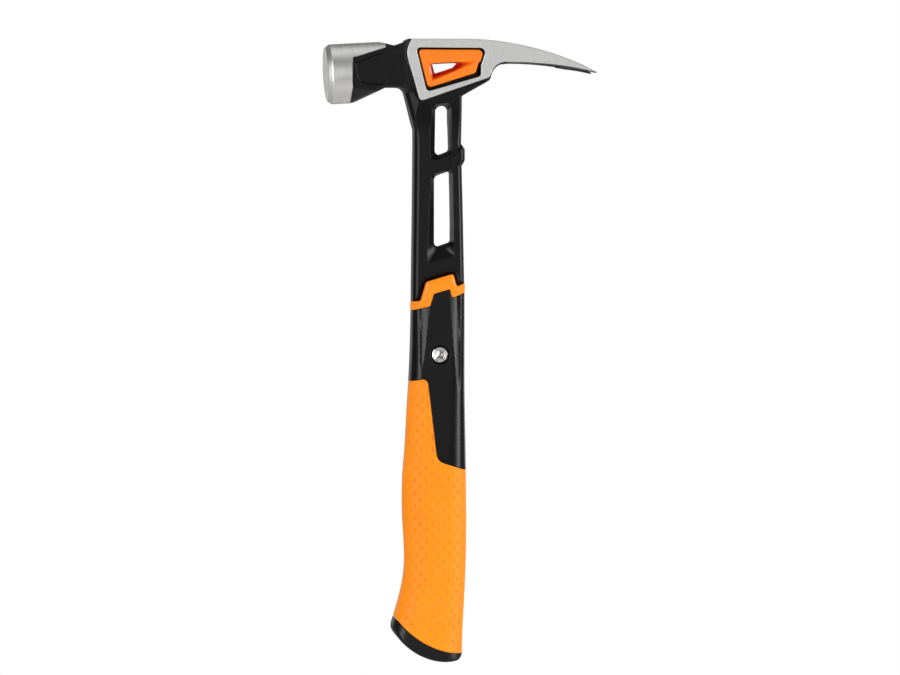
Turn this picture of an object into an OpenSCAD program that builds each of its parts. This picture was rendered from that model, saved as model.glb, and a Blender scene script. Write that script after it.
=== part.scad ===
// Straight-claw hammer: one steel forging with a slotted shank, and a moulded two-material handle.
// The origin is in the middle of the hollow rivet through the handle. +Z runs up the handle to the
// head, -X points to the striking face, +X to the claw, and Y goes through the handle's thickness.
// All sizes are in millimetres.

/* [Head] */
// Height of the head's flat top above the rivet
head_top = 198.8; // [190:0.2:205]
// Thickness of the ground block that holds the insert
block_t = 24; // [23:0.5:26]
// Width across the tips of the claw
claw_tip_w = 27.5; // [26:0.5:30]
// How far the claw tips reach from the handle axis
claw_reach = 100.6; // [95:0.2:104]
// Depth of the nail slot between the claw's tines
nail_slot_l = 39; // [32:1:42]
// Width of the nail slot at the tips
nail_slot_w = 12; // [9:0.5:13]

/* [Poll] */
// Diameter of the poll, the striking end
poll_d = 37.6; // [35:0.2:38.6]
// Diameter of the flat striking face inside the chamfer
face_d = 32.8; // [30:0.2:33.5]
// Depth of the chamfer round the striking face
face_chamfer = 3.2; // [2.5:0.1:4]
// Distance of the striking face from the handle axis
face_x = 71.2; // [68:0.2:74]
// Height of the striking face's middle above the rivet
face_z = 176.2; // [175:0.2:178]
// Angle by which the poll droops towards its face
poll_tilt = 3.2; // [0:0.2:4]
// Thickness of the neck between poll and block
neck_t = 20; // [18:0.5:22]

/* [Shank] */
// Thickness of the shank between head and handle
shank_t = 16.5; // [16:0.5:19]
// Thickness of the web that the two slots are cut through
web_t = 7; // [6:0.5:9]
// Width of the tang inside the handle
tang_w = 19; // [16:0.5:20]
// Thickness of the tang inside the handle
tang_t = 5; // [4.5:0.5:6.5]
// How far the tang reaches below the rivet
tang_end = 95; // [80:1:120]

/* [Handle] */
// Height of the butt's lowest point below the rivet
butt_z = 195; // [190:0.5:200]
// Thickness of the isolation sleeve around the tang
sleeve_wall = 1.6; // [1.2:0.1:2]
// Thickness of the handle core's stem inside the grip
stem_t = 20; // [18:0.5:21]
// How far the isolation band stands proud of the core
band_proud = 0.4; // [0.2:0.1:0.6]
// Points around each cross-section of the handle
ring_points = 32; // [24:4:40]

/* [Rivet] */
// Clear diameter of the hollow rivet, the hanging hole
rivet_bore = 5.2; // [4.6:0.1:5.6]
// Outside diameter of the rivet's barrel
rivet_od = 7.4; // [7:0.1:8]
// Diameter of the rivet's head and of its collar
rivet_head_d = 10.6; // [10:0.1:11.5]
// Overall length of the rivet
rivet_l = 22; // [21:0.5:23]

/* [Nail starter] */
// Diameter of the magnet that holds a nail
magnet_d = 6; // [5:0.5:7]
// Length of the magnet
magnet_l = 4.5; // [4:0.5:6]

/* [Hidden] */
$fn = 96;

steel_colour = [0.75, 0.75, 0.73];
coat_colour = [0.12, 0.12, 0.13];
orange_colour = [1.0, 0.55, 0.1];

past = 60;           // anything that only has to reach past the solid it cuts
sliver = 0.1;        // a slice that only gives an outline for a hull
insert_sink = 0.6;   // the insert's face lies this far below the side of the block
insert_web = 0.6;    // the window is narrowest over this thickness
tang_top = 60;       // the tang and its slot run this far up into the shank
rivet_flange = 1.6;  // thickness of the rivet's head and of its collar
seat_gap = 0.7;      // clearance round the rivet's head in its seat

// A point on a circle, and an arc of steps + 1 such points
function on_circle(c, r, a) = c + r * [cos(a), sin(a)];
function arc(c, r, a0, a1, steps) =
    [for (i = [0:steps]) on_circle(c, r, a0 + (a1 - a0) * i / steps)];

// A polygon with each corner rounded to its own radius. corners holds [x, z, radius].
function unit(v) = v / norm(v);
function turn(a) = a > 180 ? a - 360 : a < -180 ? a + 360 : a;
function rounded_corner(a, b, c, r, steps) =
    let (
        u = unit(a - b),
        v = unit(c - b),
        half = acos(u * v) / 2,
        centre = b + unit(u + v) * r / sin(half),
        from = b + u * r / tan(half) - centre,
        to = b + v * r / tan(half) - centre,
        a0 = atan2(from.y, from.x),
        sweep = turn(atan2(to.y, to.x) - a0)
    )
    arc(centre, r, a0, a0 + sweep, steps);
function flat_point(corner) = [corner.x, corner.y];
function rounded(corners, steps = 5) =
    let (n = len(corners))
    [for (i = [0:n - 1])
        let (b = corners[i])
        each b.z == 0
            ? [flat_point(b)]
            : rounded_corner(flat_point(corners[(i + n - 1) % n]), flat_point(b),
                             flat_point(corners[(i + 1) % n]), b.z, steps)];

// ---- Outlines in side view, as [x, z] or as [x, z, corner radius] ----

claw_top_start = 15;     // where the flat top turns into the claw's arc
claw_top_r = 186;
claw_under_start = 47;   // where the claw's underside leaves the hollow of its heel
claw_under_r = 211;
claw_under_z = 184;
claw_top_c = [claw_top_start, head_top - claw_top_r];
claw_under_c = [claw_under_start, claw_under_z - claw_under_r];

// From the front of the flat top, over the claw and back under it, round the heel's hollow
// and its nose, and down to the shank
block_outline = concat(
    [[-18.5, head_top - 0.2]],
    arc(claw_top_c, claw_top_r, 90, acos((claw_reach - claw_top_start) / claw_top_r), 14),
    arc(claw_under_c, claw_under_r, acos((claw_reach - 0.3 - claw_under_start) / claw_under_r), 90, 8),
    arc([42, 174], 9.4, 96, 162, 6),
    arc([29, 175.3], 3.6, 5, -66, 4),
    [[14.3, 162.9], [-9, 159.2], [-19.9, 159.2], [-23, 168.2], [-21.5, 196.6]]
);

// The poll's top follows its cylinder, the underside rises from the poll to the neck.
poll_outline = rounded([
    [-80, 150, 0], [-54.6, 158.2, 3], [-33.5, 168.3, 6], [-25, 168.3, 3], [-21, 164, 0], [-16, 164, 0],
    [-16, 197.6, 0], [-20.3, 197.4, 0], [-28.7, 194.9, 8], [-36, 196.9, 6], [-45, 205, 0], [-80, 205, 0]
]);

// The two stepped edges of the isolation band: the forging's shoulder above, the core's mouth below
step_top = [[-26, 32.8, 0], [-11.9, 34.0, 1.8], [-8.3, 46.0, 2], [8.8, 51.0, 1.5], [11.0, 42.8, 1.5],
            [26, 48.9, 0]];
step_bottom = [[-26, 25.8, 0], [-6.1, 30.7, 1], [-3.8, 38.4, 1.2], [6.5, 41.4, 0.8], [8.0, 35.8, 1.2],
               [26, 42.9, 0]];
function rounded_edge(edge) = rounded(edge, 3);
function height_at(edge, x) = lookup(x, [for (p = edge) flat_point(p)]);
function edge_between(edge, x0, x1) =
    concat([[x0, height_at(edge, x0)]],
           [for (p = rounded_edge(edge)) if (p.x > x0 && p.x < x1) p],
           [[x1, height_at(edge, x1)]]);

// Down the shank's front edge, along its shoulder, and up its back edge over the raised belt
shank_front = -17;
shank_back = 16.8;
shank_outline = concat(
    [[-20.6, 161], [-19.6, 157], [-16.4, 147], [-15.6, 142], [-15.9, 97], [-16.4, 64]],
    edge_between(step_top, shank_front, shank_back),
    [[shank_back, 50], [15.7, 87], [14.9, 119.4], [16.7, 122.8], [16.7, 129.6], [14.6, 132.6], [14.3, 166]]
);

// The grip's upper edge sweeps from the front down to the back of the handle.
grip_top = [[-30, -18.7, 0], [-8.2, -14.8, 3.2], [-2.2, -67.0, 7], [30, -77.5, 0]];

// The butt is two circles: the joint between grip and cap, and the cap's own end.
cap_joint_c = [19, -130.9];
cap_joint_r = 59.3;
above_joint = concat(arc(cap_joint_c, cap_joint_r, 180, 300, 40), [[past, 2 * past], [-past, 2 * past]]);
butt_r = 42;
butt_c = [6.2, butt_r - butt_z];

pocket = rounded([[-15.0, 192.9, 2], [29.6, 192.8, 3], [25.8, 182.4, 2], [25.8, 175.6, 2.5],
                  [-8.3, 165.7, 2.5]]);
insert_face = rounded([[-13.8, 192.0, 2], [28.5, 192.0, 3], [26.0, 184.2, 0.5], [25.0, 184.2, 0.5],
                       [22.6, 177.4, 2.5], [-7.6, 167.8, 2.5]]);
window_mouth = rounded([[-7.4, 183.1, 0.6], [24.4, 184.8, 0.5], [-5.1, 172.0, 0.8]], 2);
window_throat = rounded([[-3.9, 183.0, 0.5], [12.6, 183.9, 0.5], [9.6, 181.0, 0.5],
                         [-2.2, 177.1, 0.8]], 2);

slot_one = rounded([[-1.8, 155.8, 3.3], [6.2, 157.8, 3.3], [7.0, 128.4, 2.6], [-2.3, 124.8, 2.6]]);
slot_one_mouth = rounded([[-4.9, 157.0, 3.3], [7.6, 159.4, 3.3], [8.6, 126.4, 3.5], [-6.0, 121.0, 3.5]]);
slot_two = rounded([[-2.6, 112.4, 3], [7.6, 116.0, 1.5], [8.2, 71.0, 2.5], [-2.7, 67.2, 2.5]]);
slot_two_mouth = rounded([[-5.2, 113.5, 3], [8.8, 117.6, 2], [9.6, 62.4, 1.5], [-7.9, 57.2, 1.5]]);

cap_side = rounded([[-31, -150, 0], [-31, -200, 6], [9, -200, 0], [16.5, -189.5, 0], [16.5, -150, 0]]);

// ---- Half thicknesses of the forging ----

// Along the head, as [x, y]: the cheeks behind the poll's turned end, and the block with the claw
neck_half = [[-90, past], [-55, past], [-55, 16.5], [-44, 13], [-32, neck_t / 2], [-26, neck_t / 2],
             [-18, block_t / 2]];
block_half = [[-30, neck_t / 2], [-26, neck_t / 2], [-19.5, block_t / 2], [20, block_t / 2],
              [60, block_t / 2 + 0.6], [claw_reach - 8, claw_tip_w / 2],
              [claw_reach + 1, claw_tip_w / 2 - 0.5]];
// Up the shank, as [z, y]
shank_half = [[20, shank_t / 2], [146, shank_t / 2], [161, block_t / 2 - 1], [164.5, block_t / 2 - 1]];
head_bottom = 140;

// ---- The handle's outer surface ----

// Front edge, back edge and half thickness of the handle at each height
front_edge = [[60, -17.3], [28, -17.1], [11, -17.4], [-10, -18.2], [-34, -19.7], [-59, -21.1],
              [-78, -22.6], [-90, -22.9], [-104, -22.6], [-120, -21.7], [-132, -21.5], [-142, -22.4],
              [-154, -24.9], [-166, -28.4], [-174, -31.0], [-200, -39.0]];
back_edge = [[60, 16.9], [30, 17.0], [-25, 17.1], [-50, 17.5], [-70, 17.8], [-130, 17.8], [-156, 16.7],
             [-178, 15.6], [-200, 15.2]];
half_thickness = [[60, 9.2], [28, 10.2], [0, 12.0], [-34, 13.3], [-70, 14.2], [-100, 14.6],
                  [-130, 14.4], [-160, 15.2], [-200, 15.8]];
// How square the cross-section is: 2 is an ellipse
squareness = [[60, 3.6], [20, 3.2], [-30, 2.7], [-200, 2.6]];

function signed_power(v, e) = sign(v) * pow(abs(v), e);
function ring(z, grow) =
    let (
        x0 = lookup(z, front_edge) - grow,
        x1 = lookup(z, back_edge) + grow,
        t = lookup(z, half_thickness) + grow,
        e = 2 / lookup(z, squareness)
    )
    [for (i = [0:ring_points - 1])
        let (a = 360 * i / ring_points)
        [(x0 + x1) / 2 + (x1 - x0) / 2 * signed_power(cos(a), e), t * signed_power(sin(a), e), z]];

// A closed skin through rings of equal length, the lowest ring first
module loft(rings) {
    n = len(rings[0]);
    count = len(rings);
    sides = [for (k = [0:count - 2]) for (i = [0:n - 1])
        let (j = (i + 1) % n)
        each [[k * n + i, (k + 1) * n + i, k * n + j], [k * n + j, (k + 1) * n + i, (k + 1) * n + j]]];
    lowest = [for (i = [0:n - 1]) i];
    highest = [for (i = [n - 1:-1:0]) (count - 1) * n + i];
    polyhedron([for (r = rings) each r], concat([lowest], sides, [highest]));
}

module handle_form(heights, grow = 0) {
    loft([for (z = heights) ring(z, grow)]);
}

// ---- Helpers that turn an outline into a solid ----

// Extrudes an outline drawn in [x, z] through the thickness, centred on the handle's middle plane
module side(outline, thickness) {
    rotate([90, 0, 0]) linear_extrude(thickness, center = true) polygon(outline);
}

// Extrudes a plan drawn in [x, y] through the height of the head
module head_plan(outline) {
    translate([0, 0, head_bottom]) linear_extrude(past + head_bottom / 2) polygon(outline);
}

// The outline and its mirror image across y = 0, from the half with positive y
function both_sides(half) =
    concat(half, [for (i = [len(half) - 1:-1:0]) [half[i].x, -half[i].y]]);

// A hole that is wide at both faces and narrow in the web between them
module drafted_slot(mouth, throat, thickness, web) {
    side(throat, past);
    for (s = [-1, 1])
        hull() {
            translate([0, s * (thickness / 2 + sliver), 0]) side(mouth, 2 * sliver);
            translate([0, s * web / 2, 0]) side(throat, sliver);
        }
}

// Everything below an edge drawn in [x, z]
module below(edge) {
    side(concat(edge, [[past, -4 * past], [-past, -4 * past]]), 2 * past);
}

// Turns a solid drawn about Z onto the rivet's axis, and centres it on its length
module on_rivet_axis(length) {
    rotate([90, 0, 0]) translate([0, 0, -length / 2]) children();
}

module rivet_hole() {
    on_rivet_axis(past) cylinder(d = rivet_od, h = past);
}

// ---- The steel forging ----

module poll() {
    translate([-face_x, 0, face_z])
        rotate([0, 90 - poll_tilt, 0])
            rotate_extrude()
                polygon([[0, 0], [face_d / 2, 0], [poll_d / 2, face_chamfer], [poll_d / 2, past], [0, past]]);
}

module claw_and_block() {
    intersection() {
        side(block_outline, past);
        head_plan(both_sides(block_half));
    }
}

module shank() {
    intersection() {
        side(shank_outline, past);
        rotate([0, -90, 0]) linear_extrude(past, center = true) polygon(both_sides(shank_half));
    }
}

// The tang grown by a wall on every side: the wall is 0 for the tang itself.
module tang(wall = 0) {
    translate([-tang_w / 2 - wall, -tang_t / 2 - wall, -tang_end - wall])
        cube([tang_w + 2 * wall, tang_t + 2 * wall, tang_end + wall + tang_top]);
}

// The V between the tines, from a blunt apex out past the tips
module nail_slot() {
    apex = claw_reach - nail_slot_l;
    tip_half = nail_slot_w / 2;
    head_plan(both_sides([[apex, 0.6], [apex + 1.5, 1.2], [claw_reach, tip_half],
                          [claw_reach + 5, tip_half + 0.7]]));
}

magnet_foot = [-27.5, 0, 190.2];

module head_forging() {
    color(steel_colour)
        difference() {
            union() {
                intersection() {
                    poll();
                    side(poll_outline, past);
                    head_plan(both_sides(neck_half));
                }
                claw_and_block();
                shank();
                tang();
            }
            side(pocket, past);
            drafted_slot(slot_one_mouth, slot_one, shank_t, web_t);
            drafted_slot(slot_two_mouth, slot_two, shank_t, web_t);
            nail_slot();
            translate(magnet_foot) cylinder(d = magnet_d, h = past);
            rivet_hole();
        }
}

module nail_magnet() {
    color("dimgray") translate(magnet_foot) cylinder(d = magnet_d, h = magnet_l);
}

// ---- The orange insert in the head ----

// Its middle fills the pocket, and its raised faces stand clear of the pocket's walls.
module head_insert() {
    insert_t = block_t - 2 * insert_sink;
    color(orange_colour)
        difference() {
            union() {
                side(pocket, block_t / 2);
                side(insert_face, insert_t);
            }
            drafted_slot(window_mouth, window_throat, insert_t, insert_web);
        }
}

// ---- The handle ----

core_heights = [-90, -74, -59, -34, -10, 11, 28, 44];
grip_heights = [-200, -190, -182, -174, -166, -154, -142, -132, -120, -104, -90, -78, -59, -34, -10];
cap_heights = [-200, -190, -182, -174, -166, -154];
band_heights = [20, 28, 36, 44, 52];

// The band round the joint, and the sleeve that lines the core's slot for the tang
module isolation_sleeve() {
    color(orange_colour)
        difference() {
            union() {
                difference() {
                    intersection() {
                        handle_form(band_heights, band_proud);
                        below(rounded_edge(step_top));
                    }
                    below(rounded_edge(step_bottom));
                }
                intersection() {
                    tang(sleeve_wall);
                    below(rounded_edge(step_top));
                }
            }
            tang();
            rivet_hole();
        }
}

// The stem under the grip carries the end cap.
stem_front = -15.5;
stem_back = 13.5;
stem_top = -10;
stem_foot = -176;
module core_stem() {
    translate([stem_front, -stem_t / 2, stem_foot])
        cube([stem_back - stem_front, stem_t, stem_top - stem_foot]);
}

module handle_core() {
    color(coat_colour)
        difference() {
            union() {
                difference() {
                    intersection() {
                        handle_form(core_heights);
                        below(rounded_edge(step_bottom));
                    }
                    below(rounded_edge(grip_top));
                }
                core_stem();
            }
            tang(sleeve_wall);
            rivet_hole();
            for (s = [-1, 1])
                translate([0, s * (rivet_l / 2 - rivet_flange + past / 2), 0])
                    on_rivet_axis(past) cylinder(d = rivet_head_d + 2 * seat_gap, h = past);
        }
}

module grip_overmold() {
    color(orange_colour)
        difference() {
            intersection() {
                handle_form(grip_heights);
                below(rounded_edge(grip_top));
                side(above_joint, past);
            }
            core_stem();
        }
}

module end_cap() {
    color(coat_colour)
        difference() {
            intersection() {
                handle_form(cap_heights);
                side(cap_side, past);
                side(arc(butt_c, butt_r, 180, 360, 60), past);
            }
            side(above_joint, past);
            core_stem();
        }
}

// ---- The hollow rivet ----

module rivet_barrel() {
    color("silver")
        on_rivet_axis(rivet_l)
            difference() {
                union() {
                    cylinder(d = rivet_od, h = rivet_l);
                    translate([0, 0, rivet_l - rivet_flange]) cylinder(d = rivet_head_d, h = rivet_flange);
                }
                translate([0, 0, -1]) cylinder(d = rivet_bore, h = rivet_l + 2);
            }
}

module rivet_collar() {
    color("silver")
        on_rivet_axis(rivet_l)
            difference() {
                cylinder(d = rivet_head_d, h = rivet_flange);
                translate([0, 0, -1]) cylinder(d = rivet_od, h = rivet_flange + 2);
            }
}

head_forging();
nail_magnet();
head_insert();
isolation_sleeve();
handle_core();
grip_overmold();
end_cap();
rivet_barrel();
rivet_collar();
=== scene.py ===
import math

import bpy
import numpy as np
import openvdb
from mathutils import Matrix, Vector


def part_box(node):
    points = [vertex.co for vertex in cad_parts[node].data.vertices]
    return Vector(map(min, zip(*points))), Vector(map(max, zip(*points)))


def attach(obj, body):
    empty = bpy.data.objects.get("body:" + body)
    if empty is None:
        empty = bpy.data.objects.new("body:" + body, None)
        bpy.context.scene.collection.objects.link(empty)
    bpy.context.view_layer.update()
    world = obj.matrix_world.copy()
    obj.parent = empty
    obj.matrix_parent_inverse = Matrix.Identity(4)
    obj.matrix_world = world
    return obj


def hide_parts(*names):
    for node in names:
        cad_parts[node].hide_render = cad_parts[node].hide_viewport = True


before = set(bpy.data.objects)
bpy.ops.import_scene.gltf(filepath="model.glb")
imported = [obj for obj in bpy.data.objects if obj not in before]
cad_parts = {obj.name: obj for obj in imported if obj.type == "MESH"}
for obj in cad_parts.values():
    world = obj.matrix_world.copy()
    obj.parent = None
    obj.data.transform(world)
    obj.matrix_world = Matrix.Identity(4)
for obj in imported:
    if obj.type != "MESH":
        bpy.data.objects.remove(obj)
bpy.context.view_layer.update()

# Shapes are worked out in millimetres, and turned into metres when a mesh is made.
MM = 0.001
NARROW_BAND = 3          # voxels of distance kept on each side of a surface
MARGIN = 2               # voxels of empty space round a piece
PROBE = 0.04             # step for the slope of a distance, in millimetres
LEAST_STEEP = 0.2        # the least squared slope that a point's move is divided by


def box_mm(node):
    low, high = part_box(node)
    return np.array(low) / MM, np.array(high) / MM


head_low, head_high = box_mm("head_forging")
insert_low, insert_high = box_mm("head_insert")
cap_low, cap_high = box_mm("end_cap")
magnet_low, magnet_high = box_mm("nail_magnet")

HEAD_TOP = head_high[2]
POLL_R = head_high[1]
INSERT_SINK = 0.6        # how far the insert's face lies below the block's side
BLOCK_HALF = insert_high[1] + INSERT_SINK
BUTT_Z = cap_low[2]


# ---- Outlines in side view, as (x, z) points ----

def arc(centre, radius, start, end, steps):
    """Corners along an arc, which need no rounding of their own."""
    angles = np.radians(np.linspace(start, end, steps + 1))
    return [(centre[0] + radius * math.cos(a), centre[1] + radius * math.sin(a), 0)
            for a in angles]


def rounded(corners, steps=6):
    """An outline from (x, z, radius) corners, each rounded to its own radius."""
    points = []
    count = len(corners)
    for i, (x, z, radius) in enumerate(corners):
        here = Vector((x, z))
        if radius == 0:
            points.append((x, z))
            continue
        to_last = (Vector(corners[i - 1][:2]) - here).normalized()
        to_next = (Vector(corners[(i + 1) % count][:2]) - here).normalized()
        half = to_last.angle(to_next) / 2
        centre = here + (to_last + to_next).normalized() * radius / math.sin(half)
        first = here + to_last * radius / math.tan(half) - centre
        last = here + to_next * radius / math.tan(half) - centre
        for step in range(steps + 1):
            points.append(tuple(centre + swung(first, last, step / steps)))
    return points


def swung(first, last, share):
    """The first vector, turned a share of the way to the last one."""
    start = math.atan2(first.y, first.x)
    sweep = math.atan2(last.y, last.x) - start
    sweep = (sweep + math.pi) % (2 * math.pi) - math.pi
    angle = start + sweep * share
    return Vector((math.cos(angle), math.sin(angle))) * first.length


# ---- Signed distances in millimetres, negative inside ----

def outline_distance(outline, x, z):
    """How far (x, z) is from a closed outline, negative inside it."""
    shape = np.broadcast(x, z).shape
    nearest = np.full(shape, np.inf)
    inside = np.zeros(shape, bool)
    for (ax, az), (bx, bz) in zip(outline, outline[1:] + outline[:1]):
        ex, ez = bx - ax, bz - az
        wx, wz = x - ax, z - az
        share = np.clip((wx * ex + wz * ez) / (ex * ex + ez * ez), 0, 1)
        nearest = np.minimum(nearest, (wx - ex * share) ** 2 + (wz - ez * share) ** 2)
        if ez != 0:
            inside ^= ((az > z) != (bz > z)) & (wx < ex / ez * wz)
    return np.where(inside, -1, 1) * np.sqrt(nearest)


def meet(a, b, radius):
    """The part that is in both solids, with a rounded edge between them."""
    return np.minimum(np.maximum(a, b), -radius) + np.hypot(np.maximum(a + radius, 0),
                                                            np.maximum(b + radius, 0))


def soft_max(a, b, width):
    """The larger of two values, with a smooth change from one to the other."""
    return (a + b + np.sqrt((a - b) ** 2 + width * width)) / 2


def soft_min(a, b, width):
    return -soft_max(-a, -b, width)


def step_up(value, start, end):
    """0 before start, 1 after end, and smooth between them."""
    t = np.clip((value - start) / (end - start), 0, 1)
    return t * t * (3 - 2 * t)


def curve(points, at):
    """A smooth curve through (place, value) points, held level past both ends."""
    places, values = np.array(points, float).T
    slopes = np.gradient(values, places)
    at = np.clip(at, places[0], places[-1])
    i = np.clip(np.searchsorted(places, at) - 1, 0, len(places) - 2)
    gap = places[i + 1] - places[i]
    t = (at - places[i]) / gap
    return (values[i] * (1 + 2 * t) * (1 - t) ** 2 + slopes[i] * gap * t * (1 - t) ** 2
            + values[i + 1] * t * t * (3 - 2 * t) - slopes[i + 1] * gap * t * t * (1 - t))


# ---- Meshes from distances ----

def new_piece(name, points, faces):
    """A smooth-shaded mesh object from points in millimetres."""
    mesh = bpy.data.meshes.new(name)
    mesh.from_pydata((np.asarray(points) * MM).tolist(), [], faces)
    mesh.validate()
    mesh.polygons.foreach_set("use_smooth", [True] * len(mesh.polygons))
    mesh.update()
    piece = bpy.data.objects.new(name, mesh)
    bpy.context.scene.collection.objects.link(piece)
    return piece


def value_and_slope(distance, points):
    """A distance and its slope along x, y and z at each point."""
    x, y, z = points.T
    value = distance(x, y, z)
    ahead = [distance(x + PROBE, y, z), distance(x, y + PROBE, z), distance(x, y, z + PROBE)]
    return value, (np.stack(ahead, axis=1) - value[:, None]) / PROBE


def skin(name, distance, low, high, voxel):
    """The surface where distance is zero, as a quad mesh whose points lie on it."""
    axes = [np.arange(a - MARGIN * voxel, b + (MARGIN + 1) * voxel, voxel, np.float32)
            for a, b in zip(low, high)]
    field = distance(axes[0][:, None, None], axes[1][None, :, None], axes[2][None, None, :])
    band = NARROW_BAND * voxel
    field = np.clip(np.broadcast_to(field, [len(a) for a in axes]), -band, band)
    grid = openvdb.FloatGrid(band)
    grid.copyFromArray(np.ascontiguousarray(field, np.float32))
    points, quads = grid.convertToQuads(0.0)
    points = points.astype(float) * voxel + [a[0] for a in axes]
    value, slope = value_and_slope(distance, points)
    move = value[:, None] * slope / np.maximum((slope ** 2).sum(1), LEAST_STEEP)[:, None]
    reach = np.linalg.norm(move, axis=1)
    points -= move * np.minimum(1, 0.5 * voxel / np.maximum(reach, 1e-9))[:, None]
    piece = new_piece(name, points, quads.tolist())
    normals = value_and_slope(distance, points)[1]
    normals /= np.maximum(np.linalg.norm(normals, axis=1), 1e-9)[:, None]
    piece.data.normals_split_custom_set_from_vertices(normals.tolist())
    return piece


def mark(piece, name, values):
    """Stores a value for each point, which the piece's material reads by name."""
    attribute = piece.data.attributes.new(name, "FLOAT", "POINT")
    attribute.data.foreach_set("value", np.asarray(values, np.float32))


def points_mm(piece):
    points = np.zeros(len(piece.data.vertices) * 3)
    piece.data.vertices.foreach_get("co", points)
    return points.reshape(-1, 3).T / MM


# ---- The head forging ----

CLAW_REACH = head_high[0]
TIP_BEVEL = 0.3          # how far the claw's edge leans back
CLAW_TOP_R = 186         # the claw's top and underside are arcs
CLAW_TOP_C = (15, HEAD_TOP - CLAW_TOP_R)
CLAW_UNDER_R = 230
CLAW_UNDER_C = (47, -46)
tip_above = math.degrees(math.acos((CLAW_REACH - CLAW_TOP_C[0]) / CLAW_TOP_R))
tip_below = math.degrees(math.acos((CLAW_REACH - TIP_BEVEL - CLAW_UNDER_C[0]) / CLAW_UNDER_R))
claw_top = arc(CLAW_TOP_C, CLAW_TOP_R, 90, tip_above, 28)
claw_under = arc(CLAW_UNDER_C, CLAW_UNDER_R, tip_below, 90, 16)

# The stepped edges of the orange band and of the grip, as (x, z, radius) corners.
STEP_TOP = [(-26, 32.8, 0), (-11.9, 34.0, 1.8), (-8.3, 46.0, 2), (8.8, 51.0, 1.5), (11.0, 42.8, 1.5),
            (26, 48.9, 0)]
STEP_BOTTOM = [(-26, 25.8, 0), (-6.1, 30.7, 1), (-3.8, 38.4, 1.2), (6.5, 41.4, 0.8), (8.0, 35.8, 1.2),
               (26, 42.9, 0)]
GRIP_TOP = [(-30, -18.7, 0), (-8.2, -14.8, 3.2), (-2.2, -67.0, 7), (30, -77.5, 0)]
DEEP = -400


def below(edge):
    """The outline of everything below an edge."""
    return rounded(edge + [(edge[-1][0], DEEP, 0), (edge[0][0], DEEP, 0)])


FORGING_SIDE = rounded(
    [(-18.5, HEAD_TOP - 0.2, 0)] + claw_top + claw_under
    + arc((42, 174.0), 9.4, 96, 162, 10) + arc((29.0, 175.3), 3.6, 5, -66, 5)
    + [(14.3, 162.9, 1.5), (14.6, 132.6, 1), (16.7, 129.6, 1.2), (16.7, 122.8, 1.2),
       (14.9, 119.2, 1), (15.7, 87, 0), (16.8, 30, 0), (-16.9, 20, 0), (-16.7, 44, 0), (-16.0, 97, 0),
       (-15.6, 142, 6), (-22.6, 168.2, 4), (-33.5, 168.3, 6), (-54.6, 158.2, 3), (-90, 150, 0),
       (-90, 210, 0), (-45, 205, 0), (-37.5, 196.8, 3), (-28.7, 194.4, 5), (-21.0, 197.2, 0.6),
       (-20.2, 198.6, 0.4)]
)
GROUND_SIDE = rounded(
    [(-17.0, 201, 0), (100, 201, 0), (101, 178, 0)]
    + arc(CLAW_UNDER_C, CLAW_UNDER_R + 0.3, 77.0, 91, 12) + arc((42, 174.6), 9.9, 90, 160, 8)
    + [(31.3, 174.7, 2.5), (-12.6, 159.6, 2.2), (-21.4, 190.4, 13), (-17.4, 199.8, 0)]
)
POCKET = rounded([(-15.0, 192.9, 2), (29.6, 192.8, 3), (25.8, 182.4, 2), (25.8, 175.6, 2.5),
                  (-8.3, 165.7, 2.5)])
SLOT_ONE = rounded([(-1.8, 155.8, 3.3), (6.2, 157.8, 3.3), (7.0, 128.4, 2.6), (-2.3, 124.8, 2.6)])
SLOT_ONE_MOUTH = rounded([(-4.9, 157.0, 3.3), (7.6, 159.4, 3.3), (8.6, 126.4, 3.5), (-6.0, 121.0, 3.5)])
SLOT_TWO = rounded([(-2.6, 112.4, 3), (7.6, 116.0, 1.5), (8.2, 71.0, 2.5), (-2.7, 67.2, 2.5)])
SLOT_TWO_MOUTH = rounded([(-5.2, 113.5, 3), (8.8, 117.6, 2), (9.6, 62.4, 1.5), (-7.9, 57.2, 1.5)])
CHEEK_PANEL = rounded([(-54.2, 183.6, 0.6), (-40.5, 188.6, 1), (-30, 191.5, 0), (-22, 191.5, 0),
                       (-22, 169.5, 0), (-42, 169.4, 2), (-50.6, 170.8, 2), (-52.4, 174, 1)])
BUMP_TOP = [(4, 123.4), (8, 125.0), (11.4, 127.6), (13.4, 131.0), (15.5, 133.6), (18, 134.4)]
BUMP_FOOT = 119.2
BUMP_PROUD, BUMP_EDGE = 1.7, 1.3             # the belt's height over the shank, and its edges' width
BUMP_START, BUMP_WHOLE = 5, 14               # it rises out of the shank between these places in x
BELOW_STEP_TOP = below(STEP_TOP)

# Half thicknesses along x (neck, claw) or z (shank).
NECK_HALF = [(-80, 16.6), (-55.6, 16.4), (-48, 15.1), (-40, 13.2), (-34, 11.5), (-28, 10.2),
             (-23, 10.7), (-19, 11.7), (-10, 11.9)]
FRONT_RIDGE = [(143, -17.5), (150, -15.4), (160, -13.9), (172, -15.0)]
SHANK_HALF = [(20, 8.25), (120, 8.25), (143, 8.3), (160, 11.0), (170, 11.2)]
CLAW_HALF = [(20, BLOCK_HALF), (60, BLOCK_HALF + 0.6), (93, 13.75), (102, 13.2)]
WEB_HALF = 3.5
BLOCK_DRAFT = 1.1        # how fast the block thins outwards from its ground side
HALF_BLEND = 0.25

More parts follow.
